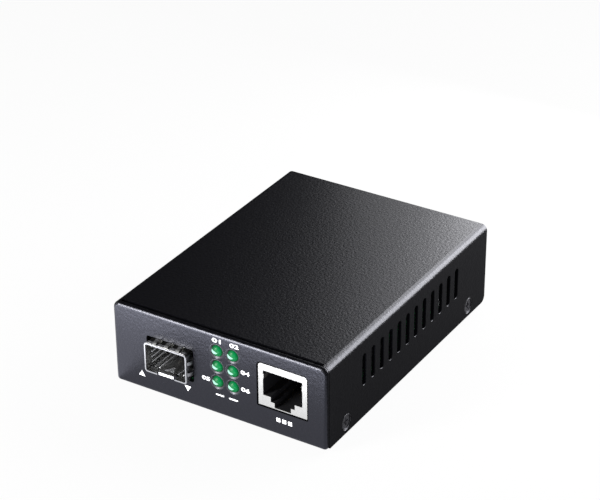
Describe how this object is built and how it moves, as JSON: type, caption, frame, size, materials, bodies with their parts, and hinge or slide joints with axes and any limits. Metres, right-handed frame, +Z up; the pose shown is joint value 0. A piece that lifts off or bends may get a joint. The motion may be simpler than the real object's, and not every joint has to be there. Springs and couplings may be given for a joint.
{
  "type": "fibre media converter",
  "caption": "Small desktop converter between a copper network jack and an optical module cage, in a folded steel housing with side vents.",
  "frame": {"origin": "under the middle of the whole object, on the surface that it stands on", "axes": "+X to the right seen from the sockets' side, +Y from the sockets to the power inlet, +Z up"},
  "size_m": [0.071, 0.097, 0.028],
  "materials": {
    "steel": "satin black powder coat, very fine grain",
    "screws": "black zinc",
    "feet": "matt",
    "board": "green solder mask on glass fibre board",
    "plated_steel": "plated, satin",
    "cage": "nickel plated, bright",
    "spring_steel": "nickel plated, bright",
    "shield": "tin plated, bright",
    "gold": "gold plated",
    "black_plastic": "moulded, satin",
    "lamp_green": "tinted lens",
    "pad": "soft silicone",
    "aluminium": "satin",
    "ceramic": "fired"
  },
  "bodies": {
    "root": {"chassis": "steel", "top_cover": "steel", "cover_screws": "screws", "rubber_feet": "feet", "main_board": "board", "board_standoffs": "plated_steel", "board_screws": "plated_steel", "sfp_cage": "cage", "sfp_spring_collar": "spring_steel", "sfp_host_connector": "black_plastic", "sfp_contacts": "gold", "rj45_shield": "shield", "rj45_insert": "black_plastic", "rj45_contacts": "gold", "led_holder": "black_plastic", "led_leads": "plated_steel", "dc_jack_housing": "black_plastic", "dc_jack_pin": "plated_steel", "dc_jack_spring": "plated_steel", "dc_jack_terminals": "plated_steel", "led_upper_left": "lamp_green", "led_upper_right": "lamp_green", "led_middle_left": "lamp_green", "led_middle_right": "lamp_green", "led_lower_left": "lamp_green", "led_lower_right": "lamp_green", "network_transformer": "black_plastic", "converter_chip": "black_plastic", "thermal_pad": "pad", "heat_sink": "aluminium", "memory_chip": "black_plastic", "crystal": "plated_steel", "power_inductor": "black_plastic", "regulator_chip": "black_plastic", "input_capacitor": "aluminium", "output_capacitor": "aluminium", "fuse": "black_plastic", "protection_diode": "black_plastic", "chip_resistors": "black_plastic", "chip_capacitors": "ceramic"}
  },
  "joints": []
}
